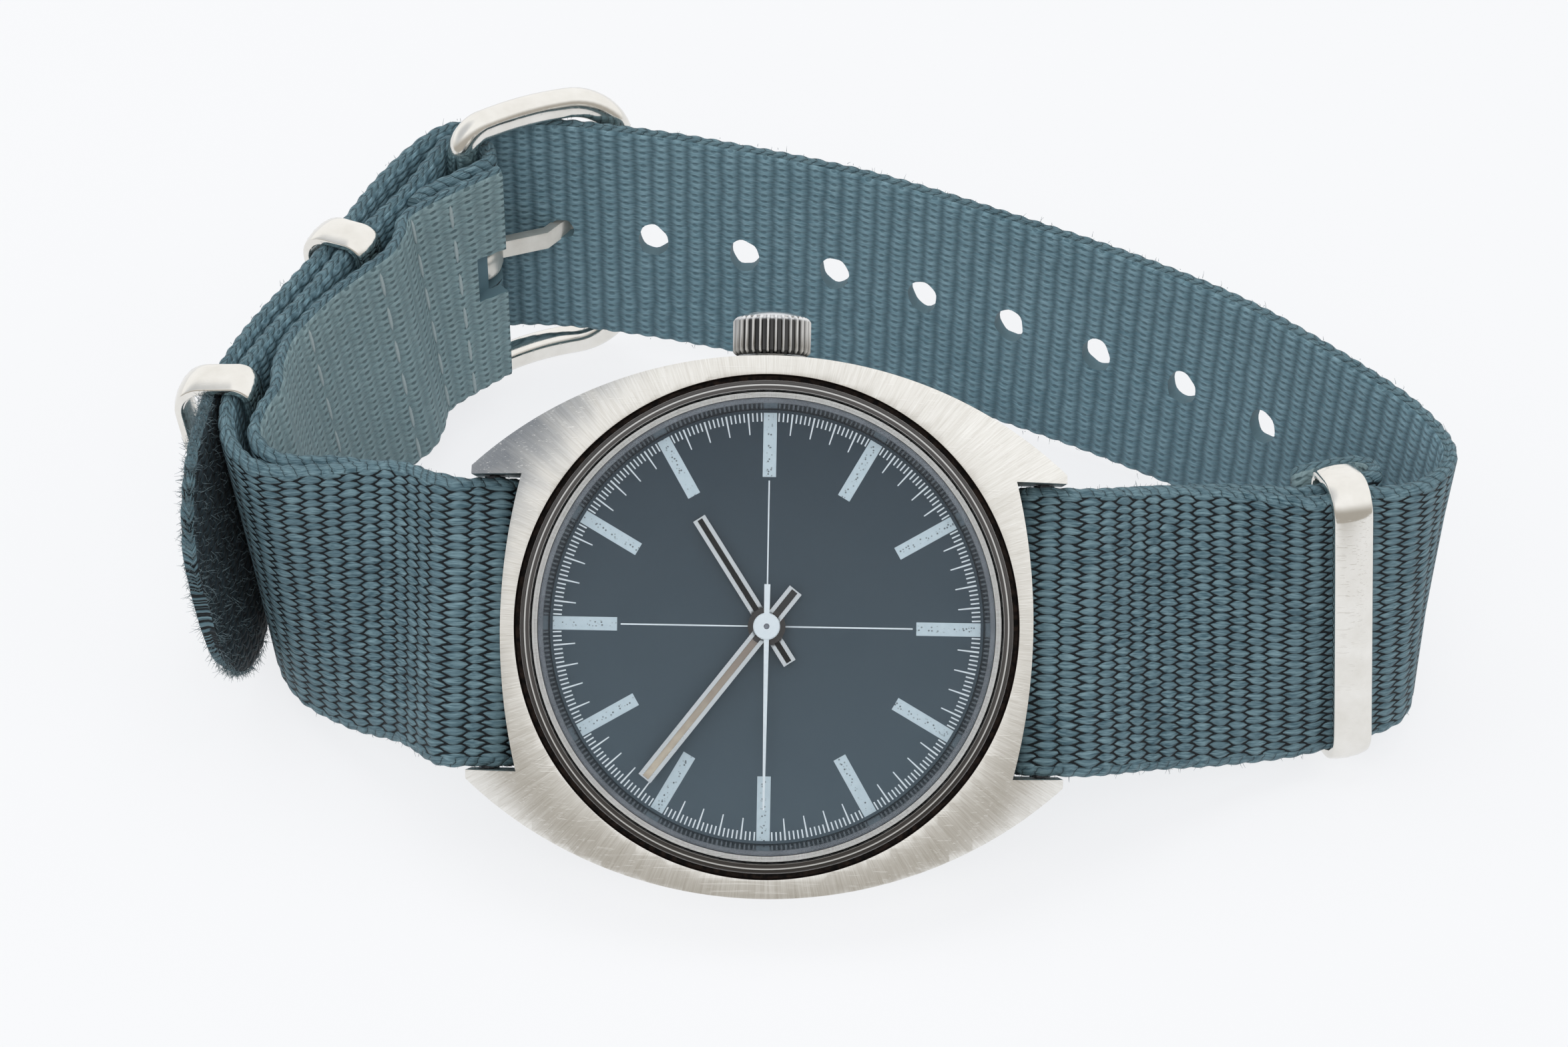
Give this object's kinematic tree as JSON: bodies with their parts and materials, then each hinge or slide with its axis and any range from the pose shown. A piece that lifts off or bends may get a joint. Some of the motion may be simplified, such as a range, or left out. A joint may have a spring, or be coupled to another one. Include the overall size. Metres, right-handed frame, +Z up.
{
  "type": "wrist watch",
  "caption": "Hand-wound steel dive-style wrist watch with a domed crystal on a woven pass-through strap, buckled and lying on its side.",
  "frame": {"origin": "on the floor, under the middle of the overall box, watch lying on its nine o'clock flank with the strap standing on edge", "axes": "+Z up, +X from twelve towards six o'clock along the strap, -Y the side the dial leans towards (dial normal is 45 degrees between -Y and +Z)"},
  "size_m": [0.093, 0.0679, 0.0318],
  "materials": {
    "case_steel": "brushed, scratched and worn",
    "polished_steel": "polished, with small scratches",
    "clear_acrylic": "clear, domed",
    "dial_charcoal": "matt",
    "hand_steel": "polished with inlay",
    "strap_nylon": "woven nylon webbing, slightly worn",
    "train_brass": "gilt",
    "plate_nickel": "nickel plated",
    "spring_steel": "hardened steel",
    "gasket_rubber": "matt"
  },
  "bodies": {
    "watch": {"mid_case": "case_steel", "spring_bar_12": "polished_steel", "spring_bar_6": "polished_steel", "case_back": "case_steel", "case_back_gasket": "gasket_rubber", "crystal": "clear_acrylic", "holding_ring": "polished_steel", "tension_ring": "polished_steel", "dial": "dial_charcoal", "movement_ring": "plate_nickel", "main_plate": "train_brass", "barrel_bridge": "plate_nickel", "train_bridge": "plate_nickel", "balance_cock": "plate_nickel", "pallet_bridge": "plate_nickel", "barrel_bridge_screw_1": "spring_steel", "barrel_bridge_screw_2": "spring_steel", "train_bridge_screw_1": "spring_steel", "train_bridge_screw_2": "spring_steel", "balance_cock_screw": "spring_steel", "crown_wheel_screw": "spring_steel", "crown_tube": "case_steel", "hairspring": "spring_steel", "long_strap": "strap_nylon", "short_strap": "strap_nylon", "keeper_near_buckle": "polished_steel", "keeper_far": "polished_steel", "end_keeper": "polished_steel"},
    "seconds": {"fourth_wheel": "train_brass", "second_hand": "hand_steel"},
    "minutes": {"center_wheel": "train_brass", "cannon_pinion": "spring_steel", "minute_hand": "hand_steel"},
    "hours": {"hour_wheel": "train_brass", "hour_hand": "hand_steel"},
    "third": {"third_wheel": "train_brass"},
    "motion": {"minute_wheel": "train_brass"},
    "escape": {"escape_wheel": "spring_steel"},
    "barrel": {"barrel": "train_brass", "barrel_lid": "train_brass", "mainspring": "spring_steel"},
    "winding": {"winding_pinion": "spring_steel"},
    "crown": {"crown": "case_steel", "winding_stem": "spring_steel", "crown_gasket": "gasket_rubber"},
    "crown_wheel": {"crown_wheel": "spring_steel"},
    "ratchet": {"ratchet_wheel": "spring_steel", "barrel_arbor": "spring_steel", "ratchet_screw": "spring_steel"},
    "balance": {"balance_wheel": "train_brass"},
    "pallet": {"pallet_fork": "spring_steel"},
    "click": {"click": "spring_steel"},
    "buckle": {"buckle_frame": "polished_steel"},
    "tongue": {"buckle_tongue": "polished_steel"}
  },
  "joints": [
    {"name": "seconds_turn", "type": "hinge", "parent": "watch", "child": "seconds", "pos_m": [-0.00273, -0.01739, 0.01489], "axis": [0, 0.7071, -0.7071], "continuous": true},
    {"name": "minutes_turn", "type": "hinge", "parent": "watch", "child": "minutes", "pos_m": [-0.00273, -0.01739, 0.01489], "axis": [0, 0.7071, -0.7071], "continuous": true},
    {"name": "hours_turn", "type": "hinge", "parent": "watch", "child": "hours", "pos_m": [-0.00273, -0.01739, 0.01489], "axis": [0, 0.7071, -0.7071], "continuous": true},
    {"name": "third_turn", "type": "hinge", "parent": "watch", "child": "third", "pos_m": [-0.00161, -0.02034, 0.01193], "axis": [0, 0.7071, -0.7071], "continuous": true},
    {"name": "motion_turn", "type": "hinge", "parent": "watch", "child": "motion", "pos_m": [-0.00123, -0.01555, 0.01672], "axis": [0, 0.7071, -0.7071], "continuous": true},
    {"name": "escape_turn", "type": "hinge", "parent": "watch", "child": "escape", "pos_m": [0.00151, -0.01739, 0.01489], "axis": [0, 0.7071, -0.7071], "continuous": true},
    {"name": "barrel_turn", "type": "hinge", "parent": "watch", "child": "barrel", "pos_m": [-0.00718, -0.01424, 0.01804], "axis": [0, 0.7071, -0.7071], "continuous": true},
    {"name": "crown_turn", "type": "hinge", "parent": "watch", "child": "winding", "pos_m": [-0.00273, -0.00975, 0.0221], "axis": [0, 0.7071, 0.7071], "continuous": true},
    {"name": "crown_pull", "type": "slide", "parent": "winding", "child": "crown", "axis": [0, 0.7071, 0.7071], "range_m": [0, 0.001]},
    {"name": "crown_wheel_turn", "type": "hinge", "parent": "watch", "child": "crown_wheel", "pos_m": [-0.00273, -0.01127, 0.021], "axis": [0, -0.7071, 0.7071], "continuous": true},
    {"name": "ratchet_turn", "type": "hinge", "parent": "watch", "child": "ratchet", "pos_m": [-0.00718, -0.01424, 0.01804], "axis": [0, -0.7071, 0.7071], "continuous": true},
    {"name": "balance_swing", "type": "hinge", "parent": "watch", "child": "balance", "pos_m": [0.00533, -0.01359, 0.01699], "axis": [0, -0.7071, 0.7071], "range_deg": [-150, 150], "stiffness_Nm_per_rad": 0.0000004},
    {"name": "pallet_rock", "type": "hinge", "parent": "watch", "child": "pallet", "pos_m": [0.00254, -0.01553, 0.01617], "axis": [0, -0.7071, 0.7071], "range_deg": [-5, 5]},
    {"name": "click_lift", "type": "hinge", "parent": "watch", "child": "click", "pos_m": [-0.01187, -0.01375, 0.01527], "axis": [0, -0.7071, 0.7071], "range_deg": [0, 12], "stiffness_Nm_per_rad": 0.00001},
    {"name": "buckle_swing", "type": "hinge", "parent": "watch", "child": "buckle", "pos_m": [-0.02733, 0.02599, 0.01309], "axis": [0, 0.05, 0.9987], "range_deg": [0, 2]},
    {"name": "tongue_lift", "type": "hinge", "parent": "buckle", "child": "tongue", "pos_m": [-0.02733, 0.02599, 0.01309], "axis": [0, 0.05, 0.9987], "range_deg": [0, 2]}
  ],
  "couplings": [
    {"joint": "minutes_turn", "follows": "seconds_turn", "ratio": 0.016667},
    {"joint": "hours_turn", "follows": "seconds_turn", "ratio": 0.0013889},
    {"joint": "third_turn", "follows": "seconds_turn", "ratio": -0.13333},
    {"joint": "motion_turn", "follows": "seconds_turn", "ratio": -0.0055556},
    {"joint": "escape_turn", "follows": "seconds_turn", "ratio": -10},
    {"joint": "barrel_turn", "follows": "seconds_turn", "ratio": -0.0027778},
    {"joint": "crown_wheel_turn", "follows": "crown_turn", "ratio": 0.5},
    {"joint": "ratchet_turn", "follows": "crown_turn", "ratio": -0.27273}
  ]
}
